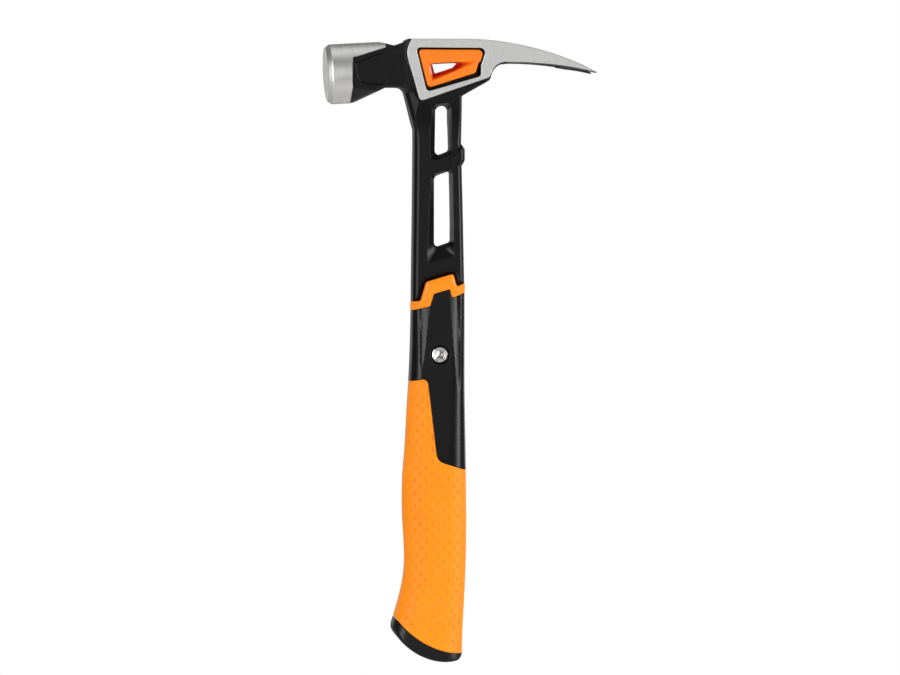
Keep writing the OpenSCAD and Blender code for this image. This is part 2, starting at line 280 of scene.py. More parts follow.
POLL_FROM, POLL_WHOLE = 55.4, 56.6           # towards the face, where the poll leaves the neck
CHEEK_RELEASE, UNDERSIDE_RELEASE = 8, 20     # what frees the poll from the neck's faces there
UNDERSIDE_HALF, UNDERSIDE_Z, UNDERSIDE_DRAFT = 16.3, 168.2, 1.5   # below this height the neck narrows
PANEL_DEPTH, PANEL_EDGE = 2.0, 1.0           # the panel sunk in each cheek
PANEL_FROM, PANEL_WHOLE = 31, 40             # towards the face, where the panel starts and is at full depth
FACET_Z, FACET_DRAFT = 168, 1.2              # the facet below the neck, in the corner to the shank
FACET_FROM, FACET_WHOLE = -40, -30
NECK_BACK = -12
SHANK_TOP = 172
RIDGE_DRAFT = 0.62       # how fast the shank's front thins away from its ridge

GROUND_EDGE_R = 0.3      # the ground block's edges are nearly sharp, and the coated ones are round
COAT_EDGE_R = 2.3
COAT_EDGE_FROM, COAT_EDGE_WHOLE = 0.6, 4     # how far outside the ground side the rounding grows
SHANK_EXTRA_R = 2.0      # the shank is rounder still below this height, over this length
SHANK_ROUND_TOP, SHANK_ROUND_RUN = 150, 20
TANG_HALF_W, TANG_HALF_T = 9.5, 2.5
TANG_FOOT, TANG_TOP = 22, 60

BELLY_DEPTH = 1.0        # the claw's underside bulges by this much in its middle
BELLY_TOP = 182
BELLY_START, BELLY_WHOLE, BELLY_FADE, BELLY_END = 66, 84, 77, 97
BELLY_HALF, BELLY_EDGE = 9, 13.5

NAIL_SLOT_LENGTH = 39
NAIL_SLOT_APEX = CLAW_REACH - NAIL_SLOT_LENGTH
NAIL_SLOT_HALF, NAIL_SLOT_FLARE, NAIL_SLOT_DRAFT = 0.9, 0.135, 0.12
MAGNET_X = (magnet_low[0] + magnet_high[0]) / 2
MAGNET_SEAT_R = 3.0

FACE_CENTRE = (-71.2, 176.2)
POLL_TILT = math.radians(3.2)
FACE_R, FACE_CHAMFER = 16.4, 3.2
FACE_CROWN_R = 700
POLL_BACK, POLL_FADE = -30, 40               # the poll's cylinder widens away past this place


def poll_places(x, y, z):
    """How far a point is behind the striking face, and how far from the poll's axis."""
    dx, dz = x - FACE_CENTRE[0], z - FACE_CENTRE[1]
    behind = dx * math.cos(POLL_TILT) + dz * math.sin(POLL_TILT)
    return behind, np.hypot(y, dz * math.cos(POLL_TILT) - dx * math.sin(POLL_TILT))


def poll_distance(x, y, z):
    """The poll's cylinder with its crowned and chamfered face; it sets no limit behind the poll."""
    behind, out = poll_places(x, y, z)
    crown = out * out / (2 * FACE_CROWN_R)
    slant = math.atan2(POLL_R - FACE_R, FACE_CHAMFER)
    chamfer = (out - FACE_R) * math.cos(slant) - behind * math.sin(slant)
    poll = meet(meet(crown - behind, chamfer, 0.4), out - POLL_R, 0.4)
    return poll - POLL_FADE * np.maximum(x - POLL_BACK, 0)


def drafted(half, mouth, throat, x, z):
    """The half thickness inside a drafted slot, which narrows from its mouth to the web."""
    to_mouth = np.maximum(-outline_distance(mouth, x, z), 0)
    to_throat = np.maximum(outline_distance(throat, x, z), 0)
    share = to_throat / np.maximum(to_throat + to_mouth, 1e-6)
    inside = to_mouth > 0
    return np.where(inside, WEB_HALF + (half - WEB_HALF) * share, half)


def neck_half(x, z):
    """Half the neck's thickness: its lower edges are cut off, and a panel is sunk in each cheek."""
    at_poll = step_up(-x, POLL_FROM, POLL_WHOLE)
    cheek = curve(NECK_HALF, x) + CHEEK_RELEASE * at_poll
    below_edge = np.maximum(UNDERSIDE_Z - z, 0)
    underside = UNDERSIDE_HALF - UNDERSIDE_DRAFT * below_edge + UNDERSIDE_RELEASE * at_poll
    panel = step_up(-outline_distance(CHEEK_PANEL, x, z), 0, PANEL_EDGE)
    panel = panel * step_up(-x, PANEL_FROM, PANEL_WHOLE)
    cheek = soft_min(cheek, underside, 0.6) - PANEL_DEPTH * panel
    cheek = cheek - FACET_DRAFT * np.maximum(FACET_Z - z, 0) * step_up(x, FACET_FROM, FACET_WHOLE)
    return np.where(x < NECK_BACK, cheek, 0)


def shank_half(x, z):
    """Half the shank's thickness, with the belt across its back and the two drafted slots."""
    on_bump = step_up(curve(BUMP_TOP, x) - z, 0, BUMP_EDGE)
    on_bump = on_bump * step_up(z, BUMP_FOOT, BUMP_FOOT + BUMP_EDGE)
    shank = curve(SHANK_HALF, z) + BUMP_PROUD * on_bump * step_up(x, BUMP_START, BUMP_WHOLE)
    past_ridge = np.maximum(curve(FRONT_RIDGE, z) - x, 0)
    shank = np.where(z < SHANK_TOP, shank, 0) - RIDGE_DRAFT * past_ridge
    shank = drafted(shank, SLOT_ONE_MOUTH, SLOT_ONE, x, z)
    return drafted(shank, SLOT_TWO_MOUTH, SLOT_TWO, x, z)


def forging_half(x, z, ground):
    """Half the forging's thickness at each place in side view."""
    block = curve(CLAW_HALF, x) - BLOCK_DRAFT * np.maximum(ground, 0)
    body = soft_max(block, shank_half(x, z), HALF_BLEND)
    return soft_max(body, neck_half(x, z), HALF_BLEND)


def claw_belly(x, y, z):
    """How far the claw's underside bulges down between its edges."""
    rise = np.clip((x - BELLY_START) / (BELLY_WHOLE - BELLY_START), 0, 1)
    fall = np.clip((BELLY_END - x) / (BELLY_END - BELLY_FADE), 0, 1)
    belly = BELLY_DEPTH * rise * fall * step_up(-np.abs(y), -BELLY_EDGE, -BELLY_HALF)
    return np.where(z < BELLY_TOP, belly, 0)


def nail_slot_distance(x, y, z):
    """The V between the claw's tines, which opens towards the claw's underside."""
    along = x - NAIL_SLOT_APEX
    top = CLAW_TOP_C[1] + np.sqrt(np.maximum(CLAW_TOP_R ** 2 - (x - CLAW_TOP_C[0]) ** 2, 1))
    half = NAIL_SLOT_HALF + NAIL_SLOT_FLARE * np.maximum(along, 0)
    half = half + NAIL_SLOT_DRAFT * np.maximum(top - z, 0)
    end = np.hypot(np.minimum(along, 0), y) - half
    return np.where(along > 0, np.abs(y) - half, end)


def tang_distance(x, y, z):
    across = np.maximum(np.abs(x) - TANG_HALF_W, np.abs(y) - TANG_HALF_T)
    return np.maximum(across, np.maximum(TANG_FOOT - z, z - TANG_TOP))


def forging_distance(x, y, z):
    """The outline in side view, as thick as each place is, with the poll, the tang and the openings."""
    side = outline_distance(FORGING_SIDE, x, z) - claw_belly(x, y, z)
    side = np.maximum(side, -outline_distance(BELOW_STEP_TOP, x, z))
    ground = outline_distance(GROUND_SIDE, x, z)
    extra = SHANK_EXTRA_R * step_up(SHANK_ROUND_TOP - z, 0, SHANK_ROUND_RUN)
    coated = step_up(ground, COAT_EDGE_FROM, COAT_EDGE_WHOLE)
    edge = GROUND_EDGE_R + (COAT_EDGE_R + extra) * coated
    body = meet(side, np.abs(y) - forging_half(x, z, ground), edge)
    body = np.minimum(body, tang_distance(x, y, z))
    body = meet(body, poll_distance(x, y, z), 0.25)
    for hole in (SLOT_ONE, SLOT_TWO):
        body = meet(body, -outline_distance(hole, x, z), 0.4)
    body = meet(body, -outline_distance(POCKET, x, z), 0.35)
    body = meet(body, -nail_slot_distance(x, y, z), 0.4)
    magnet_seat = np.maximum(np.hypot(x - MAGNET_X, y) - MAGNET_SEAT_R, magnet_low[2] - z)
    return meet(body, -magnet_seat, 0.3)


FORGING_VOXEL = 0.55
SIDE_MARGIN = 1.2        # how deep under the block's sides the steel is still bare
TURNED_SKIN = 0.12       # how deep under the poll's cylinder the steel is still bare
FACE_DEPTH = 8           # everything this close to the striking face is bare
TURNED_BACK = -34.2      # the coat starts here on the poll
POCKET_MARGIN = 0.3


def make_forging():
    """The forging, marked where its steel is bare: on its ground sides and on its turned poll."""
    low = (head_low[0], head_low[1], TANG_FOOT)
    piece = skin("head_and_shank", forging_distance, low, head_high, FORGING_VOXEL)
    x, y, z = points_mm(piece)
    on_side = np.abs(y) - (curve(CLAW_HALF, x) - SIDE_MARGIN)
    ground = np.minimum(-outline_distance(GROUND_SIDE, x, z), on_side)
    out_of_pocket = outline_distance(POCKET, x, z) - POCKET_MARGIN
    behind, out = poll_places(x, y, z)
    on_poll = np.maximum(out - (POLL_R - TURNED_SKIN), FACE_DEPTH - behind)
    mark(piece, "ground", np.minimum(ground, out_of_pocket))
    mark(piece, "turned", np.minimum(on_poll, TURNED_BACK - x))
    return piece


# ---- The orange insert ----

INSERT_FACE = rounded([(-13.8, 192.0, 2), (28.5, 192.0, 3), (26.0, 184.2, 0.5), (25.0, 184.2, 0.5),
                       (22.6, 177.4, 2.5), (-7.6, 167.8, 2.5)])
WINDOW_MOUTH = rounded([(-7.4, 183.1, 0.6), (25.0, 184.9, 0.4), (-5.1, 172.0, 0.8)])
WINDOW_THROAT = rounded([(-3.9, 183.35, 0.5), (12.9, 184.25, 0.5), (9.6, 181.0, 0.5),
                         (-2.2, 177.1, 0.8)])
INSERT_VOXEL = 0.3
COLLAR_GAP = 0.05        # between the collar and the pocket's wall
COLLAR_DROP = 8.5        # how far the collar lies below the insert's face
COLLAR_SHADE_FROM = 0.25       # outside the raised face by this much, the plastic is painted black as shade down in the gap
WINDOW_RIM = 0.4         # the window's painted red shade starts this far outside its mouth
RED_FROM, RED_WHOLE = -6.5, -3               # its left wall stays orange


def insert_distance(x, y, z):
    """A raised face on each side, a collar between them (painted black as shade), and a window that narrows
    inwards.
    """
    half = insert_high[1]
    to_mouth = np.maximum(-outline_distance(WINDOW_MOUTH, x, z), 0)
    to_throat = np.maximum(outline_distance(WINDOW_THROAT, x, z), 0)
    sunk = half * to_throat / np.maximum(to_throat + to_mouth, 1e-6)
    level = np.where(to_mouth > 0, np.minimum(sunk, half), half)
    raised = meet(outline_distance(INSERT_FACE, x, z), np.abs(y) - level, 0.9)
    collar = meet(outline_distance(POCKET, x, z) + COLLAR_GAP, np.abs(y) - half + COLLAR_DROP, 0.3)
    return meet(np.minimum(raised, collar), -outline_distance(WINDOW_THROAT, x, z), 0.2)


def make_insert():
    piece = skin("window_insert", insert_distance, insert_low, insert_high, INSERT_VOXEL)
    x, y, z = points_mm(piece)
    # Painted shade marks: the window's deep red grows with how far a point lies down in the window.
    in_window = outline_distance(WINDOW_MOUTH, x, z) < WINDOW_RIM
    depth = (insert_high[1] - np.abs(y)) * step_up(x, RED_FROM, RED_WHOLE)
    mark(piece, "window_depth", np.where(in_window, depth, 0))
    # The collar is marked for painted shade: black in the dark gap round the raised face.
    mark(piece, "collar", outline_distance(INSERT_FACE, x, z) - COLLAR_SHADE_FROM)
    return piece


# ---- The handle's outer form: a superellipse whose edges, half thickness and power change with z ----

FRONT_EDGE = [(-200, -39.0), (-174, -31.0), (-166, -28.4), (-154, -24.9), (-142, -22.4),
              (-132, -21.5), (-120, -21.7), (-104, -22.6), (-90, -22.9), (-78, -22.6), (-59, -21.1),
              (-34, -19.7), (-10, -18.2), (11, -17.4), (28, -17.1), (60, -17.3)]
BACK_EDGE = [(-200, 15.2), (-178, 15.6), (-156, 16.7), (-130, 17.8), (-70, 17.8), (-50, 17.5),
             (-25, 17.1), (30, 17.0), (60, 16.9)]
HALF_THICKNESS = [(-200, 15.8), (-160, 15.2), (-130, 14.4), (-100, 14.6), (-70, 14.2), (-34, 13.3),
                  (0, 12.0), (28, 10.2), (60, 9.2)]
SQUARENESS = [(-200, 2.6), (-30, 2.7), (20, 3.2), (60, 3.6)]


def handle_distance(x, y, z):
    """The distance to the handle's outer form, close to its surface."""
    front, back = curve(FRONT_EDGE, z), curve(BACK_EDGE, z)
    half, power = curve(HALF_THICKNESS, z), curve(SQUARENESS, z)
    wide = (back - front) / 2
    across = np.abs(x - (front + back) / 2) / wide
    through = np.abs(y) / half
    size = np.maximum(across ** power + through ** power, 1e-6) ** (1 / power)
    steep = np.hypot(across ** (power - 1) / wide, through ** (power - 1) / half)
    return (size - 1) / np.maximum(steep * size ** (1 - power), 0.02)


def handle_point(angle, z, sunk):
    """The point of the handle's form at an angle and a height, sunk below its surface."""
    front, back = curve(FRONT_EDGE, z) + sunk, curve(BACK_EDGE, z) - sunk
    half, power = curve(HALF_THICKNESS, z) - sunk, curve(SQUARENESS, z)
    c, s = np.cos(angle), np.sin(angle)
    x = (front + back) / 2 + (back - front) / 2 * np.sign(c) * np.abs(c) ** (2 / power)
    return x, half * np.sign(s) * np.abs(s) ** (2 / power)


BELOW_STEP_BOTTOM = below(STEP_BOTTOM)
BELOW_GRIP_TOP = below(GRIP_TOP)
FRONT_CREASE_X, BACK_CREASE_X = -11.4, 12.0
FRONT_CREASE_FOOT, BACK_CREASE_FOOT = -8, -24
CREASE_TOP, CREASE_DEPTH = 34, 1.9
CREASE_FACET_W, CREASE_FACET_GROWS = 0.8, 5.0    # the facet's width at the foot, and its growth upwards
CREASE_OUTER_W = 1.3
RIVET_SEAT_R, RIVET_SEAT_Y = 6.0, 9.6
RIVET_HOLE_R = 3.72
CORE_VOXEL = 0.5
CORE_LOW, CORE_HIGH = (-24, -14.5, -84), (19, 14.5, 43)


def crease(past, z, foot):
    """A valley beside the middle panel: steep on its outer side, and a long facet up to the panel."""
    fade = np.clip((z - foot) / (CREASE_TOP - foot), 0, 1)
    facet = 1 - past / (CREASE_FACET_W + CREASE_FACET_GROWS * fade)
    outer = 1 + past / CREASE_OUTER_W
    return CREASE_DEPTH * fade * np.clip(soft_min(facet, outer, 0.12), 0, 1)


def core_distance(x, y, z):
    """The core above the grip, with its two creases, the rivet's seats and the rivet's hole."""
    form = handle_distance(x, y, z)
    form = form + crease(x - FRONT_CREASE_X, z, FRONT_CREASE_FOOT)
    form = form + crease(BACK_CREASE_X - x, z, BACK_CREASE_FOOT)
    body = meet(form, outline_distance(BELOW_STEP_BOTTOM, x, z), 0.4)
    body = meet(body, -outline_distance(BELOW_GRIP_TOP, x, z), 0.4)
    seat = np.maximum(np.hypot(x, z) - RIVET_SEAT_R, RIVET_SEAT_Y - np.abs(y))
    body = meet(body, -seat, 0.5)
    return np.maximum(body, RIVET_HOLE_R - np.hypot(x, z))


GRIP_WALL = 3.3
STEM_COLUMNS = 72
STEM_ROWS = 40
STEM_TOP, STEM_FOOT = -11, -176
STEM_GAP = 0.1


def make_stem():
    """The core's stem inside the grip."""
    angle = np.linspace(0, 2 * math.pi, STEM_COLUMNS, endpoint=False)
    z = np.linspace(STEM_TOP, STEM_FOOT, STEM_ROWS)[:, None] + 0 * angle
    x, y = handle_point(angle, z, GRIP_WALL + STEM_GAP)
    index = np.arange(x.size).reshape(x.shape)
    right = np.roll(index, -1, 1)
    sides = np.stack([index[:-1], index[1:], right[1:], right[:-1]], 2).reshape(-1, 4)
    ends = [index[0].tolist(), index[-1, ::-1].tolist()]
    return new_piece("handle_stem", np.stack([x, y, z], 2).reshape(-1, 3), sides.tolist() + ends)


BAND_VOXEL = 0.35
BAND_LOW, BAND_HIGH = (-18.6, -12, 24), (18.6, 12, 52)
BAND_WALL = 3.2
BAND_PROUD, BAND_PROUD_MIN, BAND_PROUD_MAX = 0.2, 0.05, 1.3
TOP_SLANT, BOTTOM_SLANT = 0.40, 0.2          # how fast the band rises inwards from its two edges
FLUSH_FROM, FLUSH_AT = 12, 17                # it falls back again towards the handle's front and back


def band_distance(x, y, z):
    """The orange band: a shell that stands proud of the handle, highest inside its stepped edges."""
    from_top = -outline_distance(BELOW_STEP_TOP, x, z)
    from_bottom = outline_distance(BELOW_STEP_BOTTOM, x, z)
    proud = BAND_PROUD + soft_min(TOP_SLANT * from_top, BOTTOM_SLANT * from_bottom, 0.1)
    proud = np.clip(proud, BAND_PROUD_MIN, BAND_PROUD_MAX)
    proud = proud * (0.3 + 0.7 * step_up(-np.abs(x), -FLUSH_AT, -FLUSH_FROM))
    form = handle_distance(x, y, z)
    body = meet(form - proud, -from_top, 0.35)
    body = meet(body, -from_bottom, 0.35)
    return np.maximum(body, -form - BAND_WALL)


CAP_VOXEL = 0.45
CAP_TOP = -150
CAP_JOINT_C, CAP_JOINT_R = (19, -130.9), 59.3
BUTT_R = 42
BUTT_C = (6.2, BUTT_R + BUTT_Z)
CAP_SIDE = rounded([(-31, CAP_TOP, 0), (-31, -200, 6), (9, -200, 0), (16.5, -189.5, 0),
                    (16.5, CAP_TOP, 0)])


def cap_distance(x, y, z):
    """The butt cap, with a rounded butt below and an arched joint to the grip above."""
    to_butt = np.hypot(x - BUTT_C[0], z - BUTT_C[1]) - BUTT_R
    to_joint = CAP_JOINT_R - np.hypot(x - CAP_JOINT_C[0], z - CAP_JOINT_C[1])
    body = meet(handle_distance(x, y, z), to_butt, 2.4)
    body = meet(body, outline_distance(CAP_SIDE, x, z), 1.0)
    body = meet(body, to_joint, 0.25)
    return np.maximum(body, z - CAP_TOP)


# ---- The grip: a closed sleeve whose outer skin carries the dimples ----

DIMPLE_COLUMNS = 32
DIMPLE_PITCH = 7.9
DIMPLE_DEPTH = 0.75
DIMPLE_HALF_W, DIMPLE_HALF_H = 1.0, 1.35
BACK_PLAIN, BACK_DIMPLED = 4, 8              # along the back and the front the grip has no dimples
FRONT_PLAIN, FRONT_DIMPLED = 5, 10
EDGE_PLAIN, EDGE_DIMPLED = 2.5, 5
GRIP_COLUMNS = 8 * DIMPLE_COLUMNS
KNEE_Z = -84             # below this height the grip goes all the way round
ROWS_ABOVE_KNEE = 130
ROWS_BELOW_KNEE = 200
INNER_ROWS = 24
GRIP_EDGE = 0.4
GRIP_MIDDLE = -100.0
FINE_STEPS = 40000
END_STEPS = 30           # enough for the grip's ends to settle on their edges


def even_angles(count):
    """Angles whose points lie evenly round the grip's middle, and how far round each is in mm."""
    fine = np.linspace(0, 2 * math.pi, FINE_STEPS + 1)
    x, y = handle_point(fine, np.full_like(fine, GRIP_MIDDLE), 0)
    far = np.concatenate([[0], np.cumsum(np.hypot(np.diff(x), np.diff(y)))])
    round_at = np.arange(count) * far[-1] / count
    return np.interp(round_at, far, fine), round_at


def dimples(around, z):
    """How deep the dimples are at each point, in columns with every second one half a pitch lower."""
    spacing = around[1] * GRIP_COLUMNS / DIMPLE_COLUMNS
    column = around / spacing
    nearest = np.round(column)
    row = z / DIMPLE_PITCH + 0.5 * (nearest % 2)
    dx = (column - nearest) * spacing / DIMPLE_HALF_W
    dz = (row - np.round(row)) * DIMPLE_PITCH / DIMPLE_HALF_H
    return DIMPLE_DEPTH * np.clip(1 - dx * dx - dz * dz, 0, 1) ** 0.8


def grip_ends(angle):
    """The heights where the grip starts and stops on each column."""
    edge = np.array(rounded(GRIP_TOP))
    top = np.full(len(angle), -40.0)
    bottom = np.full(len(angle), -180.0)
    for _ in range(END_STEPS):
        top = (top + np.interp(handle_point(angle, top, 0)[0], edge[:, 0], edge[:, 1])) / 2
        x = handle_point(angle, bottom, 0)[0]
        reach = np.sqrt(np.maximum(CAP_JOINT_R ** 2 - (x - CAP_JOINT_C[0]) ** 2, 0))
        bottom = (bottom + CAP_JOINT_C[1] - reach) / 2
    return top, bottom


def edge_round(to_edge):
    """How far the skin is drawn in close to the grip's ends, along a quarter circle."""
    share = 1 - np.clip(to_edge / GRIP_EDGE, 0, 1)
    return GRIP_EDGE * (1 - np.sqrt(np.clip(1 - share ** 2, 0, 1)))


def grip_rings():
    """The outer skin's rows of points from top to bottom, then the inner skin's from bottom to top."""
    angle, around = even_angles(GRIP_COLUMNS)
    top, bottom = grip_ends(angle)
    to_knee = np.linspace(0, 1, ROWS_ABOVE_KNEE, endpoint=False)[:, None]
    to_foot = np.linspace(0, 1, ROWS_BELOW_KNEE)[:, None]
    outer_z = np.concatenate([top + (KNEE_Z - top) * to_knee, KNEE_Z + (bottom - KNEE_Z) * to_foot])
    to_edge = np.minimum(top - outer_z, outer_z - bottom)
    to_back = np.minimum(around, around[-1] - around)
    to_front = np.abs(around - around[-1] / 2)
    faded = step_up(to_back, BACK_PLAIN, BACK_DIMPLED) * step_up(to_front, FRONT_PLAIN, FRONT_DIMPLED)
    faded = faded * step_up(to_edge, EDGE_PLAIN, EDGE_DIMPLED)
    x, y = handle_point(angle, outer_z, edge_round(to_edge) + dimples(around, outer_z) * faded)
    inner_z = top + (bottom - top) * np.linspace(1, 0, INNER_ROWS)[:, None]
    inner_x, inner_y = handle_point(angle, inner_z, GRIP_WALL)
    return np.concatenate([np.stack([x, y, outer_z], 2), np.stack([inner_x, inner_y, inner_z], 2)])


def ring_index(rows, columns):
    """Each point's number in a closed sheet of rings, and its neighbours' to the right and below."""
    index = np.arange(rows * columns).reshape(rows, columns)
    right, down = np.roll(index, -1, 1), np.roll(index, -1, 0)
    return index, right, down, np.roll(down, -1, 1)


def make_grip():
    points = grip_rings()
    index, right, down, corner = ring_index(len(points), GRIP_COLUMNS)
    faces = np.stack([index, down, corner, right], 2).reshape(-1, 4)
    return new_piece("grip_sleeve", points.reshape(-1, 3), faces.tolist())


# ---- Turned parts ----

def lathe(name, profile, place, axis, steps=96):
    """Turns a closed (radius, height) profile about an axis, 'Y' or 'Z', through place."""
    angles = np.linspace(0, 2 * math.pi, steps, endpoint=False)
    radius, height = np.array(profile).T
    a = radius[:, None] * np.cos(angles)
    b = radius[:, None] * np.sin(angles)
    h = np.broadcast_to(height[:, None], a.shape)
    points = np.stack([a, h, -b] if axis == "Y" else [a, b, h], 2)
    index, right, down, corner = ring_index(len(profile), steps)
    faces = np.stack([index, right, corner, down], 2).reshape(-1, 4)
    return new_piece(name, points.reshape(-1, 3) + np.array(place), faces.tolist())


RIVET_HALF = box_mm("rivet_barrel")[1][1]
BORE_R, BARREL_R, RIM_R, RIM_T = 2.6, 3.7, 5.3, 1.6
# The rolled rim from the bore outwards and over to the barrel, as (radius, depth below its top).
RIM = [(BORE_R, 1.0), (BORE_R + 0.15, 0.45), (BORE_R + 0.5, 0.1), (BORE_R + 0.95, 0),
       (RIM_R - 0.9, 0.08), (RIM_R - 0.3, 0.4), (RIM_R, 0.9), (RIM_R, RIM_T)]
RIM_CREST = 3            # the point of the rim where the far end's collar starts


def make_rivet():
    near = [(radius, RIVET_HALF - depth) for radius, depth in RIM]
    profile = near + [(BARREL_R, RIVET_HALF - RIM_T), (BARREL_R, -RIVET_HALF + 0.3),
                      (BARREL_R - 0.3, -RIVET_HALF), (BORE_R + 0.3, -RIVET_HALF),
                      (BORE_R, -RIVET_HALF + 0.4)]
    return lathe("rivet", profile[::-1], (0, 0, 0), "Y")


def make_collar():
    far = [(radius, depth - RIVET_HALF) for radius, depth in RIM[RIM_CREST:]]
    profile = far + [(BARREL_R, -RIVET_HALF + RIM_T), (BARREL_R, -RIVET_HALF + 0.1)]
    return lathe("rivet_ring", profile, (0, 0, 0), "Y")


MAGNET_R, MAGNET_BEVEL = 2.95, 0.3
LATHE_CENTRE = 0.001     # a lathe's flat ends stop just short of its axis


def make_magnet():
    top, foot = magnet_high[2], magnet_low[2]
    profile = [(LATHE_CENTRE, foot), (MAGNET_R, foot), (MAGNET_R, top - MAGNET_BEVEL),
               (MAGNET_R - MAGNET_BEVEL, top), (LATHE_CENTRE, top)]
    return lathe("starter_magnet", profile, (MAGNET_X, 0, 0), "Z")


# ---- Materials: each pair below is the low and the high end of a variation over the surface ----

GROUND_STEEL = (0.60, 0.605, 0.595), (0.70, 0.705, 0.695)
TURNED_STEEL = (0.58, 0.575, 0.56), (0.70, 0.70, 0.69)
STEEL_ROUGH = 0.36, 0.48
BLACK_COAT = (0.002, 0.002, 0.0022), (0.004, 0.004, 0.0043)
COAT_ROUGH = 0.29, 0.35
COAT_SPECULAR = 0.19
COAT_PEEL = 0.4          # how strong the coat's peel is beside the steel's grain
CORE_ROUGH = 0.25, 0.31
CORE_GRAIN = 2200, 0.00003       # a grain is a noise scale and a height in metres
CAP_BLACK = (0.004, 0.004, 0.0043), (0.007, 0.007, 0.0073)
CAP_ROUGH = 0.28, 0.36
CAP_GRAIN = 2200, 0.00004
CAP_SPECULAR = 0.2
WINDOW_ORANGE = (0.84, 0.175, 0.007), (0.89, 0.20, 0.010)
# Painted shade: a deeper red for the window's walls, standing in for light that only comes through the
# plastic.
WINDOW_SHADE_RED = (0.60, 0.012, 0.001)
# Painted shade: black for the collar, deep in the gap round the insert.
COLLAR_SHADE_BLACK = (0.004, 0.004, 0.004)
WINDOW_ROUGH = 0.34, 0.44
WINDOW_GRAIN = 1600, 0.00004
WINDOW_SPECULAR = 0.25
BAND_ORANGE = (0.90, 0.235, 0.006), (0.95, 0.26, 0.009)
BAND_ROUGH = 0.38, 0.46
BAND_GRAIN = 1800, 0.00004
BAND_SPECULAR = 0.2
GRIP_ORANGE = (0.91, 0.25, 0.003), (0.96, 0.275, 0.005)
GRIP_ROUGH = 0.46, 0.56
GRIP_GRAIN = 2600, 0.00003
GRIP_SPECULAR = 0.22
RIVET_NICKEL = (0.70, 0.69, 0.67), (0.80, 0.79, 0.77)
RIVET_ROUGH = 0.14, 0.24
MAGNET_NICKEL = (0.30, 0.30, 0.31), (0.42, 0.42, 0.43)
MAGNET_ROUGH = 0.25, 0.35


def new_material(name):
    material = bpy.data.materials.new(name)
    material.use_nodes = True
    return material, material.node_tree, material.node_tree.nodes["Principled BSDF"]


def add(tree, kind, **values):
    """A new node, with values for its inputs or its settings by name."""
    node = tree.nodes.new(kind)
    for key, value in values.items():
        if key in node.inputs:
            node.inputs[key].default_value = value
        else:
            setattr(node, key, value)
    return node


def noise(tree, place, scale, stretch=(1, 1, 1), detail=3.0):
    """Noise over the piece's own coordinates, as the node's factor output."""
    mapping = add(tree, "ShaderNodeMapping")
    mapping.inputs["Scale"].default_value = stretch
    tree.links.new(place, mapping.inputs["Vector"])
    texture = add(tree, "ShaderNodeTexNoise", Scale=scale, Detail=detail)
    tree.links.new(mapping.outputs["Vector"], texture.inputs["Vector"])
    return texture.outputs["Fac"]


def ramp(tree, value, low, high, to_low, to_high):
    """Maps low..high of a value to to_low..to_high, and holds it level outside that."""
    node = add(tree, "ShaderNodeMapRange")
    for key, number in zip(("From Min", "From Max", "To Min", "To Max"), (low, high, to_low, to_high)):
        node.inputs[key].default_value = number
    tree.links.new(value, node.inputs["Value"])
    return node.outputs["Result"]


def mix(tree, share, first, second, colour=True):
    """A mix of two colours or two values, each a constant or another node's output."""
    node = add(tree, "ShaderNodeMix", data_type="RGBA" if colour else "FLOAT")
    tree.links.new(share, node.inputs["Factor"])
    sockets, output = ((6, 7), 2) if colour else ((2, 3), 0)
    for socket, source in zip(sockets, (first, second)):
        if isinstance(source, bpy.types.NodeSocket):
            tree.links.new(source, node.inputs[socket])
        else:
            node.inputs[socket].default_value = (*source, 1) if colour else source
    return node.outputs[output]


def mottled(tree, fac, colours, spread=(0.3, 0.7)):
    """A colour that wanders between two colours with a noise factor."""
    return mix(tree, ramp(tree, fac, *spread, 0, 1), *colours)


def bump(tree, shader, height, strength, distance):
    node = add(tree, "ShaderNodeBump", Strength=strength, Distance=distance)
    tree.links.new(height, node.inputs["Height"])
    tree.links.new(node.outputs["Normal"], shader.inputs["Normal"])


def object_place(tree):
    return add(tree, "ShaderNodeTexCoord").outputs["Object"]


def attribute(tree, name):
    return add(tree, "ShaderNodeAttribute", attribute_name=name).outputs["Fac"]


def moulded(name, colours, rough, grain, specular):
    """Moulded plastic or rubber: a fine grain in the surface and a faint unevenness of tone."""
    material, tree, shader = new_material(name)
    place = object_place(tree)
    cloud = noise(tree, place, 45, detail=4)
    fine = noise(tree, place, grain[0], detail=2)
    tree.links.new(mottled(tree, cloud, colours), shader.inputs["Base Color"])
    tree.links.new(ramp(tree, fine, 0.3, 0.7, *rough), shader.inputs["Roughness"])
    shader.inputs["Specular IOR Level"].default_value = specular
    bump(tree, shader, fine, 0.5, grain[1])
    return material


def window_plastic():
    """Orange plastic with painted shade: a deeper red down in the window stands in for the light that only
    comes through the plastic, and the collar is painted black as shade.
    """
    material, tree, shader = new_material("orange_plastic")
    place = object_place(tree)
    fine = noise(tree, place, WINDOW_GRAIN[0], detail=2)
    face = mottled(tree, noise(tree, place, 70, detail=4), WINDOW_ORANGE)
    # Painted shade: deeper red down in the window.
    deep = ramp(tree, attribute(tree, "window_depth"), 0.6, 4.5, 0, 1)
    orange = mix(tree, deep, face, WINDOW_SHADE_RED)
    # Painted shade: the collar is coloured black where the gap lies in shade.
    collar = ramp(tree, attribute(tree, "collar"), -0.05, 0.05, 0, 1)
    tree.links.new(mix(tree, collar, orange, COLLAR_SHADE_BLACK), shader.inputs["Base Color"])
    tree.links.new(ramp(tree, fine, 0.3, 0.7, *WINDOW_ROUGH), shader.inputs["Roughness"])
    shader.inputs["Specular IOR Level"].default_value = WINDOW_SPECULAR
    bump(tree, shader, fine, 0.4, WINDOW_GRAIN[1])
    return material


def larger(tree, first, second):
    node = add(tree, "ShaderNodeMath", operation="MAXIMUM")
    tree.links.new(first, node.inputs[0])
    tree.links.new(second, node.inputs[1])
    return node.outputs[0]


